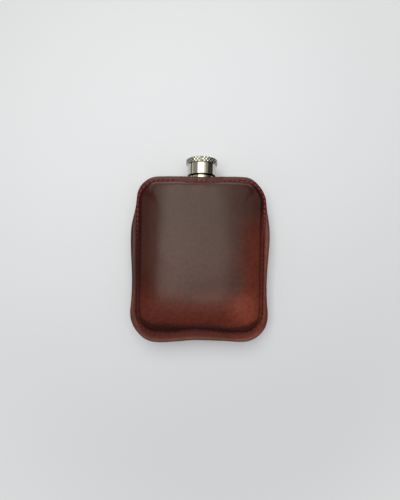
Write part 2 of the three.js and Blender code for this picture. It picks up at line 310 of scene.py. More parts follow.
# Leather cover: two panels of 2 mm cowhide, wet-moulded over the vessel, glued face to face and sewn
# through a flange that is left wide and wavy. Each has a throat that hugs the collar.
wall_half_width = 0.0463
wall_half_height = 0.05405
wall_corner = 0.0133
side_round = 0.0128
top_round = 0.0045
foot_round = 0.0083
corner_round = 0.013
side_plane = 0.0128
front_crown = 0.0035
foot_sag = 5.0
sag_from = -0.028
hide = 0.002
glue_line = 0.0001
edge_round = 0.0007
crease_reach = 0.0011
crease_rise = 0.0024
crease_wave = 0.0012
crease_gap = 0.00105
lobe_reach = 0.026
ripple_height = 0.0009
ripple_scale = 38.0
lump_height = 0.0002
lump_scale = 60.0
throat_radius = 0.0124
throat_bore = 0.0104
throat_from = 0.03
throat_bend = 0.0025
ridge_rise = 0.0013
ridge_dive = 0.008
ridge_from = 0.0575
ridge_top = 0.0475
ridge_end = 0.036
mouth_dip = 0.00275
stitch_spacing = 0.00363
stitch_dip = 0.0026
stitch_pull = 0.00014
groove_half_width = 0.001
groove_depth = 0.00035
hole_depth = 0.0003
hole_length = 0.00045
seam_rise = (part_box("leather_front")[0].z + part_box("leather_back")[1].z) / 2 - side_plane

top_end = wall_half_width - wall_corner
upper_corner = top_end + wall_corner * math.pi / 4
upper_side = top_end + wall_corner * math.pi / 2
bump = upper_side + wall_half_height - wall_corner - 0.0185
waist = upper_side + wall_half_height - wall_corner + 0.019
hip = upper_side + 2 * (wall_half_height - wall_corner)
lower_corner = hip + wall_corner * math.pi / 4
lobe = hip + wall_corner * math.pi / 2
heel = lobe + top_end
lobe_middle = lobe + 0.0145
# How far the flange reaches out from the wall on the left and on the right. It was trimmed.
flange_widths = [
    (0.0, 0.006, 0.006),
    (top_end, 0.0057, 0.0061),
    (upper_corner, 0.0041, 0.0033),
    (upper_side, 0.0025, 0.003),
    (bump, 0.0062, 0.0058),
    (waist, 0.0049, 0.0043),
    (hip, 0.0057, 0.0055),
    (lower_corner, 0.0079, 0.0083),
    (lobe, 0.0112, 0.0102),
    (lobe_middle, 0.0107, 0.0097),
    (heel, 0.0092, 0.0092),
]
# How far out the stitch line runs on the left and on the right. It was marked.
stitch_distances = [
    (0.0, 0.0025, 0.0025),
    (top_end, 0.0025, 0.003),
    (upper_corner, 0.0014, 0.0018),
    (upper_side, 0.0013, 0.0017),
    (bump, 0.0013, 0.0015),
    (hip, 0.0013, 0.0013),
    (lower_corner, 0.0022, 0.0018),
    (lobe, 0.0032, 0.0021),
    (lobe_middle, 0.0034, 0.0026),
    (heel, 0.0034, 0.0034),
]


def along(table, run, column=1):
    """A smooth curve through one column of a table whose first column is the run, level at both ends."""
    for i in range(len(table) - 1):
        if run <= table[i + 1][0]:
            break
    slopes = []
    for j in (i, i + 1):
        inner = 0 < j < len(table) - 1
        rise = table[j + 1][column] - table[j - 1][column] if inner else 0.0
        slopes.append(rise / (table[j + 1][0] - table[j - 1][0]) if inner else 0.0)
    span = table[i + 1][0] - table[i][0]
    t = min(max((run - table[i][0]) / span, 0.0), 1.0)
    start = (1 + 2 * t) * (1 - t) ** 2 * table[i][column] + t * (1 - t) ** 2 * span * slopes[0]
    return start + t * t * (3 - 2 * t) * table[i + 1][column] + t * t * (t - 1) * span * slopes[1]


def wall_foot(run):
    """The place on the wall's foot and the way out there, a distance clockwise from the top middle."""
    way = 1.0 if run >= 0 else -1.0
    far = abs(run)
    if far <= top_end:
        place, out = (far, wall_half_height), (0.0, 1.0)
    elif far <= upper_side or hip < far <= lobe:
        turn = (far - top_end) / wall_corner
        middle = wall_half_height - wall_corner
        if far > upper_side:
            turn = math.pi / 2 + (far - hip) / wall_corner
            middle = wall_corner - wall_half_height
        out = (math.sin(turn), math.cos(turn))
        place = (top_end + wall_corner * out[0], middle + wall_corner * out[1])
    elif far <= hip:
        place, out = (wall_half_width, wall_half_height - wall_corner - (far - upper_side)), (1.0, 0.0)
    else:
        place, out = (heel - far, -wall_half_height), (0.0, -1.0)
    return Vector((way * place[0], place[1])), Vector((way * out[0], out[1]))


# Runs of the strips that a panel is made of: close together round the throat, then every 0.5 mm.
throat_strips = 26
strip_spacing = 0.0005
half_runs = [throat_radius * math.sin(math.pi / 2 * i / throat_strips) for i in range(throat_strips + 1)]
strip_count = round((heel - throat_radius) / strip_spacing)
half_runs += [throat_radius + (heel - throat_radius) * (i + 1) / strip_count for i in range(strip_count)]
panel_runs = [-run for run in reversed(half_runs[1:-1])] + half_runs


def throat_line(radius, x):
    """Height over the seam of leather drawn over a tube: round on top, then straight down to the flange."""
    bend = radius * math.sqrt(0.5)
    return math.sqrt(radius ** 2 - x ** 2) if abs(x) < bend else 2 * bend - abs(x)


def throat_share(foot):
    """How far the leather is lifted by the neck at a place on the wall's foot, from 0 to 1."""
    lift = (throat_line(throat_radius, foot.x) - hide) / (throat_radius - hide)
    return max(lift, 0.0) if foot.y > 0 else 0.0


def foot_wave(run):
    """How far the crease at the foot end bows: in at the heel and out in the lobes."""
    from_heel = min(heel - abs(run), lobe_reach)
    return -crease_wave * math.cos(math.pi * from_heel / lobe_reach) * smooth_step(hip, lobe, abs(run))


def stitch_distance(run):
    """How far out from the wall's foot the stitch line runs. The throat draws it in."""
    drawn_in = stitch_dip * throat_share(wall_foot(run)[0])
    return along(stitch_distances, abs(run), 1 if run < 0 else 2) + foot_wave(run) - drawn_in


def swell(first, second, bend):
    """The higher of two heights, run into each other over a bend."""
    return max(first, second) + max(bend - abs(first - second), 0.0) ** 2 / (4 * bend)


def throat_hump(x, y, face):
    """Height of the leather over the neck, which runs up into the crown and then under it."""
    climb = ridge_rise * face * smooth_step(ridge_from, ridge_top, y)
    dive = ridge_dive * smooth_step(ridge_top, ridge_end, y)
    return face * seam_rise + throat_line(throat_radius, x) + climb - dive


def stitch_place(run):
    """A place on the front's stitch line, which climbs over the throat."""
    foot, out = wall_foot(run)
    plan = foot + out * stitch_distance(run)
    height = seam_rise + hide
    if plan.y > throat_from:
        height = swell(height, throat_hump(plan.x, plan.y, 1), throat_bend)
    return Vector((plan.x, plan.y, height))


# Distances along the stitch line, and a pitch near the stitch spacing that closes at the heel.
stitch_runs = {0.0: 0.0}
for before, after in zip(half_runs, half_runs[1:]):
    stitch_runs[after] = stitch_runs[before] + (stitch_place(after) - stitch_place(before)).length
stitches_in_half = round(stitch_runs[heel] / stitch_spacing)
stitch_pitch = stitch_runs[heel] / stitches_in_half


def crown(x, face):
    """Height of the front's shallow arch or of the flat back, above the plane of the sides."""
    if face < 0:
        return side_round
    reach = wall_half_width - side_round
    drop = (reach ** 2 - front_crown ** 2) / (2 * front_crown)
    return math.sqrt((drop + side_round + front_crown) ** 2 - x ** 2) - drop


def ripple(run, plan, beyond):
    """Lazy waves of the flange, the same in both panels, that die out at the wall and the throat."""
    calm = smooth_step(0.018, 0.03, abs(run)) * smooth_step(0.001, 0.007, beyond)
    return ripple_height * calm * noise.noise(Vector((plan.x * ripple_scale, plan.y * ripple_scale, 2.7)))


def lump(plan, face):
    """Small lumps of the front, where the hide was pressed down by hand. The back is pressed flat."""
    if face < 0:
        return 0.0
    return lump_height * noise.noise(Vector((plan.x * lump_scale, plan.y * lump_scale, 9.0)))


def stretches(foot, out):
    """How far a strip belongs to each stretch of the seam, from 0 to 1. The heel's is -1 in the lobes."""
    at_foot = smooth_step(0.2, 1.0, -out.y)
    darker_lobe = 1.0 if foot.x < 0 else 0.4
    return {
        "all": 1.0,
        "top": smooth_step(0.86, 1.0, out.y),
        "upper": smooth_step(0.2, 0.9, out.y),
        "foot": at_foot,
        "lobe": at_foot * smooth_step(0.008, 0.024, abs(foot.x)) * darker_lobe,
        "heel": at_foot * (1.0 - 2.0 * smooth_step(0.014, 0.03, abs(foot.x + 0.007))),
        "side": smooth_step(0.5, 1.0, abs(out.x)),
        "right": smooth_step(0.5, 1.0, out.x),
    }


def by_stretch(shares, where):
    """A value of a strip: the sum of its shares on the stretches that the strip belongs to."""
    return sum(share * where[stretch] for stretch, share in shares.items())


# The seam's looks by stretch: how dark the crease's painted shade is, how high that shade climbs the wall,
# where on the flange it starts to fade and ends, how full the flange is, and how the crown's dull rim fades.
crease_shade_by_stretch = {"all": 0.5, "top": -0.2, "foot": 0.42, "side": -0.14, "right": -0.06}
dark_climb = {"all": 0.0016, "foot": 0.0085, "heel": 0.0016, "right": -0.0009}
dark_start = {"all": 0.0004, "foot": 0.001, "lobe": 0.0016}
dark_end = {"all": 0.0018, "foot": 0.0018, "lobe": 0.0022, "right": -0.0006}
flange_fullness = {"all": 0.0005, "upper": -0.0004, "foot": -0.0009}
crown_dull = {"all": 0.75, "foot": 0.25}
crown_dull_steps = {"all": 3.5, "foot": 1.0, "side": 1.0, "right": -1.0}
# The burnished edge, from the glued face round to the outside: inset, side, burnish and rise.
edge_profile = [
    (0.00015, "in", 1.0, 0.00012),
    (0.0, "in", 1.0, 0.0005),
    (0.0, "out", 1.0, -0.0007),
    (0.00008, "out", 1.0, -0.00038),
    (0.00032, "out", 0.8, -0.0001),
]
# Places across the stitch groove, in half widths from its middle.
groove_section = (1.0, 0.7, 0.45, 0.2, 0.0, -0.2, -0.45, -0.7, -1.0)
lining_steps = 6
flange_steps = 7
crease_steps = 6
wall_steps = 20
crown_steps = 17


def panel_strip(run, face):
    """One strip of a panel: from the middle of its inside, round its edge, to the middle of its outside.
    Gives its points with their marks, and which of them lies in the middle of the stitch groove."""
    foot, out = wall_foot(run)
    stitch = stitch_distance(run)
    wave = foot_wave(run)
    lifted = throat_share(foot)
    width = along(flange_widths, abs(run), 1 if run < 0 else 2) - mouth_dip * lifted
    inside = face * seam_rise + glue_line / 2
    level = face * seam_rise + hide
    end_round = top_round if foot.y > 0 else foot_round
    lining = end_round + (side_round - end_round) * out.x ** 2 - hide
    turn = lining + hide + (corner_round * out.x ** 2 * out.y ** 2 if out.y > 0 else 0.0)
    where = stretches(foot, out)
    glossy = where["top"]
    # Painted shade in the crease and up the wall: how dark it is, none over the throat, and how far it
    # climbs.
    deep = by_stretch(crease_shade_by_stretch, where) * (1.0 - min(lifted * 3, 1.0))
    dark_rise = by_stretch(dark_climb, where)
    # Painted greyish sheen, partly the pale waxy haze of pull-up leather pulled tight, over the throat and
    # the middle of the top edge.
    throat_sheen_and_bloom = glossy * smooth_step(0.0195, 0.0145, abs(foot.x))
    throat_sheen_and_bloom *= 1.0 - 0.7 * smooth_step(0.75, 1.0, lifted)
    # Painted greyish sheen on the upper right side and on the middle of the left side.
    painted_sheen_right = 0.25 * smooth_step(0.3, 0.8, out.x) * smooth_step(0.016, 0.034, foot.y)
    painted_sheen_left = 0.16 * smooth_step(0.3, 0.8, -out.x)
    painted_sheen_left *= smooth_step(0.05, 0.036, foot.y) * smooth_step(-0.026, 0.0, foot.y)
    painted_side_sheen = painted_sheen_right + painted_sheen_left
    # The slope at which the wall's rounding runs into the crown, found step by step
    top_slope = 0.0
    for _ in range(4):
        top = foot - out * turn * (1 - math.sin(top_slope))
        rise = (crown(abs(top.x) - 0.0005, face) - crown(abs(top.x) + 0.0005, face)) / 0.001
        top_slope = math.atan(rise * abs(out.x))
    top_height = crown(top.x, face)
    middle = top_height - turn * math.cos(top_slope)
    phase = stitch_runs[abs(run)] / stitch_pitch
    hole = math.exp(-((phase - round(phase)) * stitch_pitch / hole_length) ** 2)
    skin = []

    def lay(plan, height, side, crease=0.0, burnish=0.0, moves=0.0, beyond=0.0, dull=0.0, sheen_and_bloom=0.0):
        """Adds a point with its marks, lifted over the throat and let down towards the foot end."""
        if plan.y > throat_from and side == "in":
            height = max(height, face * seam_rise + throat_line(throat_bore, plan.x))
        if plan.y > throat_from and side == "out":
            height = swell(height, throat_hump(plan.x, plan.y, face), throat_bend)
        if face > 0 and side == "out":
            sag = foot_sag * max(sag_from - plan.y, 0.0) ** 2
            height -= sag * max(height - level, 0.0) / (top_height - level)
        z = side_plane + face * (height + moves) + ripple(run, plan, beyond)
        skin.append((Vector((plan.x, plan.y, z)), crease, burnish, dull, sheen_and_bloom))

    def fold_shade(beyond):
        """How much of the crease's painted shade reaches a place on the flange."""
        fades = smooth_step(by_stretch(dark_start, where), by_stretch(dark_end, where), beyond - wave)
        return 0.8 * deep * (1.0 - fades)

    # The inside, from its middle to the foot of its wall
    for part in (0.02, 0.3, 0.6, 0.85):
        plan = top * part
        lay(plan, crown(plan.x, face) - hide, "in")
    lining_middle = top_height - (lining + hide) * math.cos(top_slope)
    low = math.asin(min(max((inside - lining_middle) / lining, 0.0), 1.0))
    for step in range(lining_steps + 1):
        angle = (math.pi / 2 - top_slope) + (low - math.pi / 2 + top_slope) * step / lining_steps
        plan = foot - out * (lining + hide - lining * math.cos(angle))
        lay(plan, max(lining_middle + lining * math.sin(angle), inside), "in")
    lay(foot - out * (lining + hide - lining * math.cos(low)), inside, "in")

    # The glued face and the rounded, burnished edge
    outer = width - edge_round
    for beyond in (-0.0006, stitch, width - 0.0005):
        lay(foot + out * beyond, inside, "in", burnish=0.5, beyond=beyond)
    for inset, side, burnish, rise in edge_profile:
        height = inside if side == "in" else level
        lay(foot + out * (width - inset), height, side, burnish=burnish, moves=rise, beyond=width)
    lay(foot + out * outer, level, "out", burnish=0.35, beyond=width, sheen_and_bloom=throat_sheen_and_bloom)

    # The flange, with the thread's groove and its holes, which are darkened with painted shade
    narrow = min((outer - stitch - 0.00005) / groove_half_width, 1.0)
    inner = stitch + groove_half_width * narrow
    fullness = by_stretch(flange_fullness, where) * smooth_step(0.0, 0.005, outer - inner)
    for step in range(1, flange_steps):
        beyond = outer + (inner - outer) * step / flange_steps
        pillow = fullness * math.sin(math.pi * step / flange_steps) ** 0.8
        shade = fold_shade(beyond)
        dull = 0.35 + 0.5 * (1.0 - smooth_step(0.001, 0.004, beyond)) * (1.0 - glossy)
        lay(foot + out * beyond, level, "out", shade, moves=pillow, beyond=beyond, dull=dull, sheen_and_bloom=throat_sheen_and_bloom)
    for share in groove_section:
        if share == 0.0:
            groove_ring = len(skin)
        across = groove_half_width * share * (narrow if share > 0 else 1.0)
        beyond = stitch + across
        dip = groove_depth * math.exp(-(across / 0.0005) ** 2)
        dip += hole_depth * hole * math.exp(-(across / 0.0004) ** 2)
        shade = max(fold_shade(beyond), 0.6 * dip / (groove_depth + hole_depth))
        dull = 0.85 - 0.4 * glossy
        lay(foot + out * beyond, level, "out", shade, moves=-dip, beyond=beyond, dull=dull, sheen_and_bloom=throat_sheen_and_bloom)

    # The crease where the flange turns up into the wall, darkened with painted shade, and along the top with
    # a painted dark dot at each stitch hole
    wall_from = level + crease_rise
    start = math.asin(min(max((wall_from - middle) / turn, 0.0), 1.0))
    corner = turn * (1 - math.cos(math.asin(min(max((level - middle) / turn, 0.0), 1.0))))
    drawn_back = stitch_dip * lifted - wave
    bend_from = min(crease_reach - corner + wave, stitch - crease_gap) + drawn_back
    bend_to = -turn * (1 - math.cos(start))
    for step in range(crease_steps + 1):
        t = step / crease_steps
        beyond = (1 - t) ** 2 * bend_from - 2 * t * (1 - t) * corner + t * t * bend_to - drawn_back
        height = level + t * t * crease_rise
        pucker_shade = 0.7 * glossy * hole * math.sin(math.pi * t) ** 2
        shade = max(deep, pucker_shade)
        dull = 1.0 - 0.1 * glossy
        plan = foot + out * beyond
        lay(plan, height, "out", shade, beyond=max(beyond, 0.0), dull=dull, sheen_and_bloom=throat_sheen_and_bloom)

    # The wall, rounded over into the crown. Painted shade climbs it from the crease, highest at the foot end,
    # and a painted greyish sheen lies on its top and sides.
    upright = max(middle - wall_from, 0.0)
    arc = (math.pi / 2 - top_slope - start) * turn
    top_left = glossy * smooth_step(0.022, 0.034, -foot.x)
    top_sheen_and_bloom = 0.65 * smooth_step(0.7, 1.0, out.y)
    top_sheen_and_bloom *= (1.0 - 0.8 * smooth_step(0.005, 0.035, foot.x)) * (1.0 - 0.6 * top_left)
    for step in range(1, wall_steps + 1):
        part = step / wall_steps
        way = (upright + arc) * part
        angle = start + max(way - upright, 0.0) / turn
        height = wall_from + way if way < upright else middle + turn * math.sin(angle)
        pull = stitch_pull * math.cos(2 * math.pi * phase) * (1 - smooth_step(0.0, 0.3, part))
        plan = foot - out * (turn * (1 - math.cos(angle)) + drawn_back * (1 - part) - pull)
        shade = deep * (1.0 - smooth_step(0.5 * dark_rise, 1.1 * dark_rise, way))
        shade *= 1.0 - 0.25 * where["foot"] * smooth_step(0.006, 0.001, way)
        dull = 1.0 - 0.9 * glossy * smooth_step(0.2, 0.6, part)
        dull *= 1.0 - 0.25 * (1.0 - where["foot"]) * smooth_step(0.45, 1.0, part)
        sheen_and_bloom = top_sheen_and_bloom * smooth_step(0.0, 0.7, part) * (1.0 - smooth_step(0.7, 1.0, part))
        sheen_and_bloom = max(sheen_and_bloom, painted_side_sheen, throat_sheen_and_bloom * (1.0 - smooth_step(0.3, 0.9, part)))
        lay(plan, height, "out", shade, moves=lump(plan, face) * part, dull=dull, sheen_and_bloom=sheen_and_bloom)

    # The crown, almost to its middle, where the sides' painted sheen runs a little way in
    for step in range(1, crown_steps + 1):
        plan = top * (1 - step / (crown_steps + 0.4))
        dull = by_stretch(crown_dull, where) * (1.0 - glossy)
        dull *= 1.0 - smooth_step(0.0, by_stretch(crown_dull_steps, where), step)
        sheen_and_bloom = painted_side_sheen * (1.0 - smooth_step(0.0, 3.0, step))
        lay(plan, crown(plan.x, face), "out", moves=lump(plan, face), dull=dull, sheen_and_bloom=sheen_and_bloom)
    return skin, groove_ring


# Waxed pull-up leather: an oxblood hide hot-stuffed with wax. The wax is rubbed to a coat that gives a
# soft grey sheen over a deep red brown, and is missing in the creases. The hide is darker where it is
# burnished and paler where its dye wears thin, with clouds of dye, a fine pebbled grain and a painted
# highlight on the lower right. Painted shade darkens the creases, and a painted greyish sheen, partly the
# pale waxy haze of pull-up leather where it is pulled tight, lies along the top, the throat and the sides.
cover_leather, tree, surface = start_material(
    "waxed_pull_up_leather",
    {"Specular IOR Level": 0.06, "Coat Roughness": 0.27},
)
place = add_node(tree, "TexCoord").outputs["Object"]
clouds = add_node(
    tree,
    "TexNoise",
    {"Scale": 1 / 0.024, "Detail": 3.0, "Roughness": 0.55},
    {"Vector": place},
)
drift = add_node(
    tree,
    "VectorMath",
    {"operation": "MULTIPLY_ADD", 1: (0.022, 0.022, 0.0), 2: (-0.011, -0.011, 0.0)},
    {0: clouds.outputs["Color"]},
)
uneven = add_node(tree, "VectorMath", {"operation": "ADD"}, {0: place, 1: drift.outputs["Vector"]})
axis = add_node(tree, "SeparateXYZ", None, {"Vector": uneven.outputs["Vector"]})
plain_axis = add_node(tree, "SeparateXYZ", None, {"Vector": place})
from_hip = add_node(
    tree,
    "VectorMath",
    {"operation": "DISTANCE", 1: (0.035, -0.0405, 0.026)},
    {0: uneven.outputs["Vector"]},
)
# Where the dye rubs paler, and on the hip a painted highlight: the measure at which each place starts and
# is reached, and how much paler it gets there.
wear_and_highlight_masks = {}
for name, measure, start, full, most in (
    ("right", axis.outputs["X"], 0.018, 0.046, 0.45),
    ("below_shoulder", axis.outputs["Y"], 0.038, 0.017, 1.0),
    ("foot_end", axis.outputs["Y"], -0.016, -0.038, 0.3),
    ("lower_half", axis.outputs["Y"], 0.036, -0.004, 0.07),
    ("top_flange", plain_axis.outputs["Y"], 0.0545, 0.0575, 0.22),
    ("hip", from_hip.outputs["Value"], 0.02, 0.004, 0.38),
):
    mask = add_node(
        tree,
        "MapRange",
        {"interpolation_type": "SMOOTHSTEP", "From Min": start, "From Max": full, "To Max": most},
        {"Value": measure},
    )
    wear_and_highlight_masks[name] = mask.outputs["Result"]
wear_so_far = add_node(
    tree,
    "Math",
    {"operation": "MULTIPLY"},
    {0: wear_and_highlight_masks["right"], 1: wear_and_highlight_masks["below_shoulder"]},
)
for name in ("foot_end", "lower_half", "top_flange"):
    wear_so_far = add_node(
        tree,
        "Math",
        {"operation": "ADD"},
        {0: wear_so_far.outputs["Value"], 1: wear_and_highlight_masks[name]},
    )
most_wear = add_node(tree, "Math", {"operation": "MINIMUM", 1: 0.6}, {0: wear_so_far.outputs["Value"]})
wear_and_highlight = add_node(
    tree,
    "Math",
    {"operation": "ADD", "use_clamp": True},
    {0: most_wear.outputs["Value"], 1: wear_and_highlight_masks["hip"]},
)
dye_and_highlight = add_node(
    tree,
    "Mix",
    {"data_type": "RGBA", 6: linear("#3b1814"), 7: linear("#853f32")},
    {0: wear_and_highlight.outputs["Value"]},
)
mottle = add_node(
    tree,
    "TexNoise",
    {"Scale": 1 / 0.0026, "Detail": 5.0, "Roughness": 0.65},
    {"Vector": place},
)
mottle_mask = add_node(
    tree,
    "MapRange",
    {"From Min": 0.42, "From Max": 0.75, "To Max": 0.45},
    {"Value": mottle.outputs["Fac"]},
)
colour = add_node(
    tree,
    "Mix",
    {"data_type": "RGBA", 7: linear("#2b120e")},
    {0: mottle_mask.outputs["Result"], 6: dye_and_highlight.outputs[2]},
)
# Marks over the colour: a greyish tan that is painted sheen, partly the pale waxy haze of pull-up leather; a
# near black that is painted shade in the creases, the stitch groove and up the walls; a dark brown for the
# burnished edges.
for mark, most, tint in (
    ("sheen_and_bloom", 0.75, "#66544c"),
    ("crease", 0.85, "#1d0b08"),
    ("burnish", 0.7, "#301511"),
):
    marked = add_node(tree, "Attribute", {"attribute_name": mark})
    mask = add_node(tree, "Math", {"operation": "MULTIPLY", 1: most}, {0: marked.outputs["Fac"]})
    colour = add_node(
        tree,
        "Mix",
        {"data_type": "RGBA", 7: linear(tint)},
        {0: mask.outputs["Value"], 6: colour.outputs[2]},
    )
tree.links.new(colour.outputs[2], surface.inputs["Base Color"])
gloss = add_node(
    tree,
    "MapRange",
    {"From Min": 0.3, "From Max": 0.7, "To Min": 0.5, "To Max": 0.75},
    {"Value": mottle.outputs["Fac"]},
)
tree.links.new(gloss.outputs["Result"], surface.inputs["Roughness"])
wax = add_node(
    tree,
    "MapRange",
    {"From Min": 0.3, "From Max": 0.7, "To Min": 0.71, "To Max": 0.62},
    {"Value": mottle.outputs["Fac"]},
)
unrubbed = add_node(tree, "Attribute", {"attribute_name": "dull"})
rubbed = add_node(tree, "Math", {"operation": "SUBTRACT", 0: 1.0}, {1: unrubbed.outputs["Fac"]})
wax_left = add_node(
    tree,
    "Math",
    {"operation": "MULTIPLY"},
    {0: wax.outputs["Result"], 1: rubbed.outputs["Value"]},
)
tree.links.new(wax_left.outputs["Value"], surface.inputs["Coat Weight"])
pebbles = add_node(
    tree,
    "TexVoronoi",
    {"feature": "SMOOTH_F1", "Scale": 1 / 0.0009, "Smoothness": 0.6},
    {"Vector": place},
)
pores = add_node(tree, "TexNoise", {"Scale": 1 / 0.0003, "Detail": 2.0}, {"Vector": place})
grain = add_node(
    tree,
    "Bump",
    {"Strength": 0.16, "Distance": 0.00012},
    {"Height": pebbles.outputs["Distance"]},
)
skin_relief = add_node(
    tree,
    "Bump",
    {"Strength": 0.12, "Distance": 0.00006},
    {"Height": pores.outputs["Fac"], "Normal": grain.outputs["Normal"]},
)
tree.links.new(skin_relief.outputs["Normal"], surface.inputs["Normal"])
tree.links.new(skin_relief.outputs["Normal"], surface.inputs["Coat Normal"])

stitch_lines = {}
for name, node, face in (("cover_front", "leather_front", 1), ("cover_back", "leather_back", -1)):
    strips = []
    for run in panel_runs:
        strip, groove_ring = panel_strip(run, face)
        strips.append(strip)
    rings = [[point[0] for point in ring] for ring in zip(*strips)]
    marks = {}
    for i, mark in enumerate(("crease", "burnish", "dull", "sheen_and_bloom"), 1):
        marks[mark] = [[point[i] for point in ring] for ring in zip(*strips)]
    panel = stack_rings(name, rings, "points", marks)
    shade_smooth(panel, 60)
    panel.data.materials.append(cover_leather)
    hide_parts(node)
    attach(panel, "flask")
    stitch_lines[face] = rings[groove_ring]


# Seam thread: waxed linen cord of two plies, sewn by hand with two needles, so that each stitch lies
# aslant in its groove and dives into a hole at both ends. The cord of such a seam is 0.8 mm thick, and
# it is drawn 1.1 mm thick here, so that the stitches show from as far away as in the photo.
thread_thickness = 0.0011
stitch_length = stitch_pitch + 0.0001
stitch_slant = math.radians(11)
stitch_lift = 0.00016
stitch_dive = 0.0009
end_thinning = 0.35
flattening = 0.85
ply_relief = 0.16
ply_twist = 7.5
stitch_steps = 8
stitch_sides = 8


def stitch_rings():
    """One stitch along X: a twisted cord that bows up in the middle and goes under at its ends."""
    rings = []
    for step in range(stitch_steps + 1):
        along_stitch = step / stitch_steps - 0.5
        near_end = (2 * abs(along_stitch)) ** 4
        rise = stitch_lift - stitch_dive * near_end
        ring = []
        for side in range(stitch_sides):
            angle = 2 * math.pi * side / stitch_sides
            ply = 1.0 + ply_relief * math.cos(2 * (angle - ply_twist * along_stitch))
            reach = thread_thickness / 2 * (1.0 - end_thinning * near_end) * ply
            ring.append(Vector((
                along_stitch * stitch_length,
                reach * math.cos(angle),
                rise + flattening * reach * math.sin(angle),
            )))
        rings.append(ring)
    return rings


# Waxed linen thread: dark red and dull. Below the shoulder it is darkened with painted shade, for the
# stitches that lie in the crease's shadow, less so along the foot end. Its fibres are drawn 0.3 mm wide,
# so that they show.
linen, tree, surface = start_material(
    "waxed_linen_thread",
    {"Specular IOR Level": 0.15, "Sheen Weight": 0.04, "Sheen Roughness": 0.5},
)
place = add_node(tree, "TexCoord").outputs["Object"]
axis = add_node(tree, "SeparateXYZ", None, {"Vector": place})
shade_below_shoulder = add_node(
    tree,
    "MapRange",
    {"interpolation_type": "SMOOTHSTEP", "From Min": 0.036, "From Max": 0.008, "To Max": 0.93},
    {"Value": axis.outputs["Y"]},
)
less_shade_at_foot = add_node(
    tree,
    "MapRange",
    {
        "interpolation_type": "SMOOTHSTEP",
        "From Min": -0.047,
        "From Max": -0.054,
        "To Min": 1.0,
        "To Max": 0.6,
    },
    {"Value": axis.outputs["Y"]},
)
thread_shade = add_node(
    tree,
    "Math",
    {"operation": "MULTIPLY"},
    {0: shade_below_shoulder.outputs["Result"], 1: less_shade_at_foot.outputs["Result"]},
)
fibres = add_node(tree, "TexNoise", {"Scale": 1 / 0.0003, "Detail": 3.0}, {"Vector": place})
spun = add_node(
    tree,
    "Mix",
    {"data_type": "RGBA", 6: linear("#74202d"), 7: linear("#9c3d4d")},
    {0: fibres.outputs["Fac"]},
)
shaded_thread = add_node(
    tree,
    "Mix",
    {"data_type": "RGBA", 7: linear("#2a0f10")},
    {0: thread_shade.outputs["Value"], 6: spun.outputs[2]},
)
tree.links.new(shaded_thread.outputs[2], surface.inputs["Base Color"])
dullness = add_node(tree, "MapRange", {"To Min": 0.5, "To Max": 0.8}, {"Value": fibres.outputs["Fac"]})
tree.links.new(dullness.outputs["Result"], surface.inputs["Roughness"])
relief = add_node(tree, "Bump", {"Strength": 0.5, "Distance": 0.0001}, {"Height": fibres.outputs["Fac"]})
tree.links.new(relief.outputs["Normal"], surface.inputs["Normal"])


def seam_point(face, distance):
    """The place on the stitch line at a distance from the top middle, to the right or the left."""
    way = 1 if distance >= 0 else -1
    far = min(abs(distance), stitch_runs[heel])
    for before, after in zip(half_runs, half_runs[1:]):
        if stitch_runs[after] >= far - 1e-9:
            break
    part = (far - stitch_runs[before]) / (stitch_runs[after] - stitch_runs[before])
    middle = len(half_runs) - 2
    start = stitch_lines[face][middle + way * half_runs.index(before)]
    end = stitch_lines[face][middle + way * half_runs.index(after)]
    return start.lerp(end, part)


for name, node, face in (
    ("seam_stitches_front", "seam_thread_front", 1),
    ("seam_stitches_back", "seam_thread_back", -1),
):
    pattern = stack_rings("stitch", stitch_rings(), "points")
    shade_smooth(pattern, 60)
    stitches = []
    for index in range(-stitches_in_half, stitches_in_half):
        start = seam_point(face, index * stitch_pitch)
        end = seam_point(face, (index + 1) * stitch_pitch)
        lie = (end - start).normalized()
        outward = Vector((0.0, 0.0, face)).cross(lie)
        up = lie.cross(outward).normalized()
        outward = up.cross(lie)
        middle = seam_point(face, (index + 0.5) * stitch_pitch)
        turn = Matrix((lie, outward, up)).transposed().to_4x4()
        stitch = pattern.copy()
        stitch.data = pattern.data.copy()
        bpy.context.collection.objects.link(stitch)
        stitch.data.transform(Matrix.Translation(middle) @ turn @ Matrix.Rotation(stitch_slant, 4, "Z"))
        stitches.append(stitch)
    bpy.ops.object.select_all(action="DESELECT")
    for stitch in stitches:
        stitch.select_set(True)
    bpy.context.view_layer.objects.active = stitches[0]
    bpy.ops.object.join()
    seam = bpy.context.object
    seam.name = name
    seam.data.name = name
    bpy.data.objects.remove(pattern)
    seam.data.materials.append(linen)
    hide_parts(node)
    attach(seam, "flask")


# Seal: a loose washer punched from white silicone sheet, pressed on the neck's rim by the insert.
# The cap lifts it off, so it rides on its own body.
seal_low, seal_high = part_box("cap_seal")
seal_radius = seal_high.x
near_axis = 0.0004
seal_sides = 72
seal_profile = [
    (near_axis, seal_low.y),
    (seal_radius - 0.0002, seal_low.y),
    (seal_radius - 0.00005, seal_low.y + 0.00008),
    (seal_radius, seal_low.y + 0.00025),
    (seal_radius, seal_high.y - 0.00025),
    (seal_radius - 0.00005, seal_high.y - 0.00008),
    (seal_radius - 0.0002, seal_high.y),
    (near_axis, seal_high.y),
]
seal_rings = [turned_ring(radius, height, seal_sides) for radius, height in seal_profile]
seal = stack_rings("silicone_seal", seal_rings, "points")
shade_smooth(seal, 50)

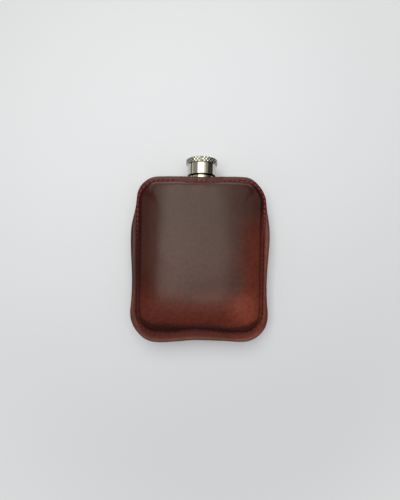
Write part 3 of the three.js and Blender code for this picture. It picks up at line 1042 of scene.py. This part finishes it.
# Silicone rubber: milky white and dull, with faint dust and light that spreads a little inside it.
silicone, tree, surface = start_material(
    "silicone_rubber",
    {"Subsurface Weight": 0.1, "Subsurface Scale": 0.001},
)
place = add_node(tree, "TexCoord").outputs["Object"]
dust = add_node(tree, "TexNoise", {"Scale": 1 / 0.0015, "Detail": 4.0}, {"Vector": place})
milky = add_node(
    tree,
    "Mix",
    {"data_type": "RGBA", 6: linear("#cfccc1"), 7: linear("#e0ddd3")},
    {0: dust.outputs["Fac"]},
)
tree.links.new(milky.outputs[2], surface.inputs["Base Color"])
dull = add_node(tree, "MapRange", {"To Min": 0.5, "To Max": 0.7}, {"Value": dust.outputs["Fac"]})
tree.links.new(dull.outputs["Result"], surface.inputs["Roughness"])
seal.data.materials.append(silicone)
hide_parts("cap_seal")
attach(seal, "seal")


# Cap insert: a moulded polypropylene cup, pressed into the cap. Its inner thread runs on the neck's,
# and its ceiling presses the seal down.
insert_low, insert_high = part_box("cap_insert")
insert_radius = insert_high.x
insert_bore = neck_radius + 0.0007
insert_ceiling = insert_high.y - 0.0009
insert_thread_ends = (insert_low.y + 0.0006, insert_ceiling - 0.0014)
insert_screw = screw_thread(
    insert_thread_ends,
    -0.00042,
    run_in=0.0006,
    crest=0.0002,
    foot=0.0006,
    shift=0.5,
)
insert_profile = [
    (near_axis, insert_ceiling),
    (insert_bore - 0.0002, insert_ceiling),
    (insert_bore, insert_ceiling - 0.0002),
]
for step in range(thread_steps + 1):
    part = step * (insert_thread_ends[0] - insert_thread_ends[1]) / thread_steps
    insert_profile.append((insert_bore, insert_thread_ends[1] + part))
insert_profile += [
    (insert_bore, insert_low.y + 0.0003),
    (insert_bore + 0.0002, insert_low.y),
    (insert_radius - 0.0002, insert_low.y),
    (insert_radius, insert_low.y + 0.0002),
    (insert_radius, insert_high.y - 0.0002),
    (insert_radius - 0.0002, insert_high.y),
    (near_axis, insert_high.y),
]
insert_rings = []
for radius, height in insert_profile:
    relief = insert_screw if radius == insert_bore else None
    insert_rings.append(turned_ring(radius, height, round_sides, relief))
insert = stack_rings("threaded_insert", insert_rings, "points")
shade_smooth(insert, 40)

# Moulded polypropylene: black and half matt, with the faint grit of the mould.
polypropylene, tree, surface = start_material("moulded_black_polypropylene")
place = add_node(tree, "TexCoord").outputs["Object"]
grit = add_node(tree, "TexNoise", {"Scale": 1 / 0.0004, "Detail": 2.0}, {"Vector": place})
black = add_node(
    tree,
    "Mix",
    {"data_type": "RGBA", 6: linear("#1f1f1f"), 7: linear("#2c2c2b")},
    {0: grit.outputs["Fac"]},
)
tree.links.new(black.outputs[2], surface.inputs["Base Color"])
half_matt = add_node(tree, "MapRange", {"To Min": 0.4, "To Max": 0.6}, {"Value": grit.outputs["Fac"]})
tree.links.new(half_matt.outputs["Result"], surface.inputs["Roughness"])
relief = add_node(tree, "Bump", {"Strength": 0.2, "Distance": 0.00002}, {"Height": grit.outputs["Fac"]})
tree.links.new(relief.outputs["Normal"], surface.inputs["Normal"])
insert.data.materials.append(polypropylene)
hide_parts("cap_insert")
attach(insert, "cap")


# Cap shell: turned from stainless bar, with a plain polished skirt and a wider head whose side is
# cut with a diamond knurl, under a slightly domed top. The knurl's 32 teeth are coarser than usual, so
# that they show from as far away as in the photo.
cap_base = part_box("cap_shell")[0].y
skirt_radius = 0.01065
head_radius = 0.0116
knurl_depth = 0.00035
knurl_teeth = 32
knurl_pitch = 0.0025
knurl_from = 0.00827
knurl_rows = 16
rows_per_pitch = 12
knurl_to = knurl_from + knurl_rows * knurl_pitch / rows_per_pitch
columns_per_tooth = 12
cap_sides = columns_per_tooth * knurl_teeth


def knurl(angle, height):
    """A pyramid between two sets of crossing grooves."""
    around = knurl_teeth * angle / (2 * math.pi)
    up = (height - cap_base - knurl_from) / knurl_pitch - knurl_rows / (2 * rows_per_pitch)
    sides = []
    for groove in (around + up, around - up):
        sides.append(1.0 - abs(2.0 * (groove - math.floor(groove)) - 1.0))
    return knurl_depth * min(sides)


cap_profile = [
    (near_axis, 0.0107),
    (0.0095, 0.0107),
    (0.00968, 0.01062),
    (0.00975, 0.01045),
    (0.00975, 0.0002),
    (0.00985, 0.00003),
    (0.01, 0.0),
    (0.01043, 0.0),
    (0.01058, 0.00006),
    (skirt_radius, 0.00022),
    (skirt_radius, 0.0005),
    (skirt_radius, 0.0072),
    (skirt_radius, 0.0075),
    (0.0105, 0.00762),
    (0.01045, 0.00775),
    (0.0105, 0.00788),
    (0.0107, 0.00796),
    (0.0115, 0.00807),
    (head_radius, knurl_from - 0.0001),
]
for row in range(knurl_rows + 1):
    cap_profile.append((head_radius, knurl_from + row * knurl_pitch / rows_per_pitch))
cap_profile += [
    (head_radius, knurl_to + 0.00008),
    (0.01145, 0.01182),
    (0.011, 0.01192),
    (0.0104, 0.01196),
    (0.0098, 0.01198),
    (0.00965, 0.01192),
    (0.0095, 0.01192),
    (0.00935, 0.01199),
    (0.0075, 0.0121),
    (0.005, 0.01221),
    (0.0025, 0.01228),
    (near_axis, 0.0123),
]
cap_rings = []
valleys = []
for radius, height in cap_profile:
    cut = knurl if radius == head_radius and knurl_from <= height <= knurl_to else None
    ring = turned_ring(radius, cap_base + height, cap_sides, cut)
    cap_rings.append(ring)
    valley = [0.0] * cap_sides
    if cut:
        valley = [1.0 - (math.hypot(p.x, p.z - neck_axis_z) - radius) / knurl_depth for p in ring]
    valleys.append(valley)
cap = stack_rings("knurled_cap", cap_rings, "points", {"valley": valleys})
shade_smooth(cap, 32)
cap.data.materials.append(polished_steel)
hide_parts("cap_shell")
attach(cap, "cap")


# Setting: a pale matt floor that runs into a pale backdrop, a broad soft light overhead with two dimmer
# ones beside it, and two low grey cards that show only in reflections. The camera looks straight down.
backdrop_colour = (0.72, 0.73, 0.73, 1.0)
ceiling_colour = (0.36, 0.355, 0.3, 1.0)
fill_colour = (0.25, 0.25, 0.265, 1.0)
lamp_colour = (1.0, 0.99, 0.85)
card_length = 0.5
camera_height = 0.21
half_view = 0.152
bpy.ops.object.select_all(action="DESELECT")
bpy.ops.mesh.primitive_plane_add(size=6.0, location=(0.0, 0.0, -0.0001))
floor = bpy.context.object
floor.name = "floor"


def seen_rays(tree):
    """1 for what the camera sees, directly, mirrored or through glass, and 0 for light on the object."""
    ray = add_node(tree, "LightPath")
    mirrored = add_node(
        tree,
        "Math",
        {"operation": "ADD"},
        {0: ray.outputs["Is Camera Ray"], 1: ray.outputs["Is Glossy Ray"]},
    )
    return add_node(
        tree,
        "Math",
        {"operation": "ADD", "use_clamp": True},
        {0: mirrored.outputs["Value"], 1: ray.outputs["Is Transmission Ray"]},
    )


# Pale plaster: matt and plain. Far from the flask it turns to the backdrop's own colour.
plaster, tree, surface = start_material(
    "pale_plaster",
    {"Base Color": linear("#e8eaf5"), "Roughness": 0.9, "Specular IOR Level": 0.2},
)
place = add_node(tree, "TexCoord").outputs["Object"]
far = add_node(tree, "VectorMath", {"operation": "LENGTH"}, {0: place})
away = add_node(
    tree,
    "MapRange",
    {"interpolation_type": "SMOOTHSTEP", "From Min": 0.1, "From Max": 0.32},
    {"Value": far.outputs["Value"]},
)
fades = add_node(
    tree,
    "Math",
    {"operation": "MULTIPLY"},
    {0: away.outputs["Result"], 1: seen_rays(tree).outputs["Value"]},
)
pale = add_node(tree, "Emission", {"Color": backdrop_colour})
fading_floor = add_node(
    tree,
    "MixShader",
    None,
    {0: fades.outputs["Value"], 1: surface.outputs["BSDF"], 2: pale.outputs["Emission"]},
)
tree.links.new(fading_floor.outputs["Shader"], tree.nodes["Material Output"].inputs["Surface"])
floor.data.materials.append(plaster)

# Grey card: dark and without any gloss.
grey_card, tree, surface = start_material(
    "grey_card",
    {"Base Color": linear("#55524a"), "Roughness": 1.0, "Specular IOR Level": 0.0},
)
for name, across, height in (("right_card", 0.11, 0.107), ("left_card", -0.11, 0.026)):
    bpy.ops.object.select_all(action="DESELECT")
    bpy.ops.mesh.primitive_plane_add(size=1.0, location=(across, 0.05, height / 2))
    card = bpy.context.object
    card.name = name
    card.rotation_euler = (0.0, math.pi / 2, 0.0)
    card.scale = (height, card_length, 1.0)
    card.visible_camera = False
    card.visible_diffuse = False
    card.visible_shadow = False
    card.data.materials.append(grey_card)

for name, place, size, energy in (
    ("overhead_softbox", (-0.08, 0.33, 0.62), (0.56, 0.96), 4.05),
    ("left_softbox", (-0.25, 0.33, 0.61), (0.2, 0.9), 0.4),
    ("right_softbox", (0.29, 0.33, 0.62), (0.18, 0.96), 0.33),
):
    bpy.ops.object.light_add(type="AREA", location=place)
    softbox = bpy.context.object
    softbox.name = name
    softbox.data.shape = "RECTANGLE"
    softbox.data.size = size[0]
    softbox.data.size_y = size[1]
    softbox.data.energy = energy
    softbox.data.color = lamp_colour

world = bpy.data.worlds.new("studio")
bpy.context.scene.world = world
world.use_nodes = True
tree = world.node_tree
sky = tree.nodes["Background"]
way = add_node(tree, "TexCoord")
up = add_node(tree, "SeparateXYZ", None, {"Vector": way.outputs["Generated"]})
overhead = add_node(
    tree,
    "MapRange",
    {"interpolation_type": "SMOOTHSTEP", "From Min": 0.05, "From Max": 0.4},
    {"Value": up.outputs["Z"]},
)
backdrop = add_node(
    tree,
    "Mix",
    {"data_type": "RGBA", 6: backdrop_colour, 7: ceiling_colour},
    {0: overhead.outputs["Result"]},
)
studio = add_node(
    tree,
    "Mix",
    {"data_type": "RGBA", 6: fill_colour},
    {0: seen_rays(tree).outputs["Value"], 7: backdrop.outputs[2]},
)
tree.links.new(studio.outputs[2], sky.inputs["Color"])
sky.inputs["Strength"].default_value = 1.0

seam_plane = side_plane + seam_rise
bpy.ops.object.camera_add(location=(-0.0002, 0.0047, seam_plane + camera_height))
camera = bpy.context.object
camera.name = "photo_camera"
camera.rotation_euler = (0.0, 0.0, math.radians(1.0))
camera.data.sensor_fit = "HORIZONTAL"
camera.data.angle = 2 * math.atan(half_view / camera_height)
camera.data.clip_start = 0.01
bpy.context.scene.camera = camera
